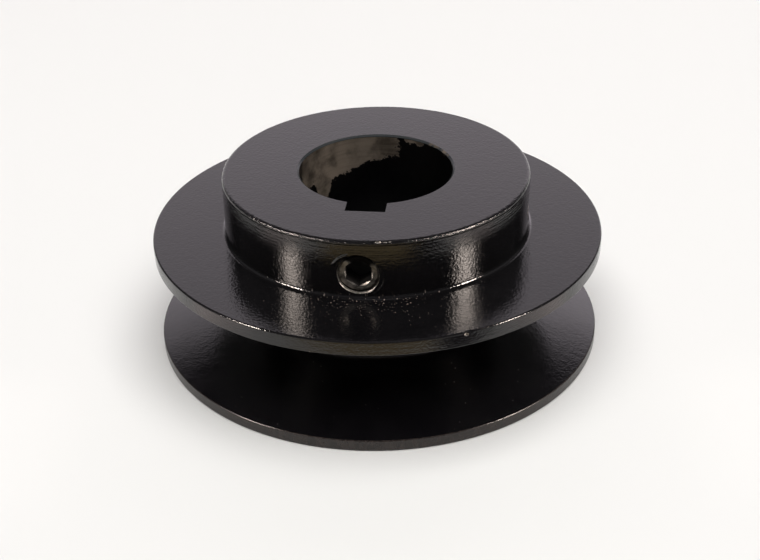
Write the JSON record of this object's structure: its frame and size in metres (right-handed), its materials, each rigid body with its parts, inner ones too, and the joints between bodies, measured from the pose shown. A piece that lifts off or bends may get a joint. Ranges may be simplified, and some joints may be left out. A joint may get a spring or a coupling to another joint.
{
  "type": "v-belt pulley",
  "caption": "V-belt pulley with a projecting hub, a keyed round bore and radial socket set screws that lock it to a shaft.",
  "frame": {"origin": "centre of the flat back face, on the bore's axis, which is the bottom of the part as it stands", "axes": "+Z along the bore from the back face to the end of the hub; the keyway and its set screw face -Y, and the second set screw faces +X"},
  "size_m": [0.075, 0.075, 0.0298],
  "materials": {
    "painted_iron": "gloss black paint over turned cast iron, with a bare bore",
    "screw_steel": "dark oiled alloy steel"
  },
  "bodies": {
    "pulley": {"pulley": "painted_iron"},
    "key_screw": {"key_set_screw": "screw_steel"},
    "side_screw": {"side_set_screw": "screw_steel"}
  },
  "joints": [
    {"name": "key_screw_travel", "type": "slide", "parent": "pulley", "child": "key_screw", "axis": [0, -1, 0], "range_m": [-0.00141, 0.00847]},
    {"name": "side_screw_travel", "type": "slide", "parent": "pulley", "child": "side_screw", "axis": [1, 0, 0], "range_m": [-0.00282, 0.00988]}
  ]
}
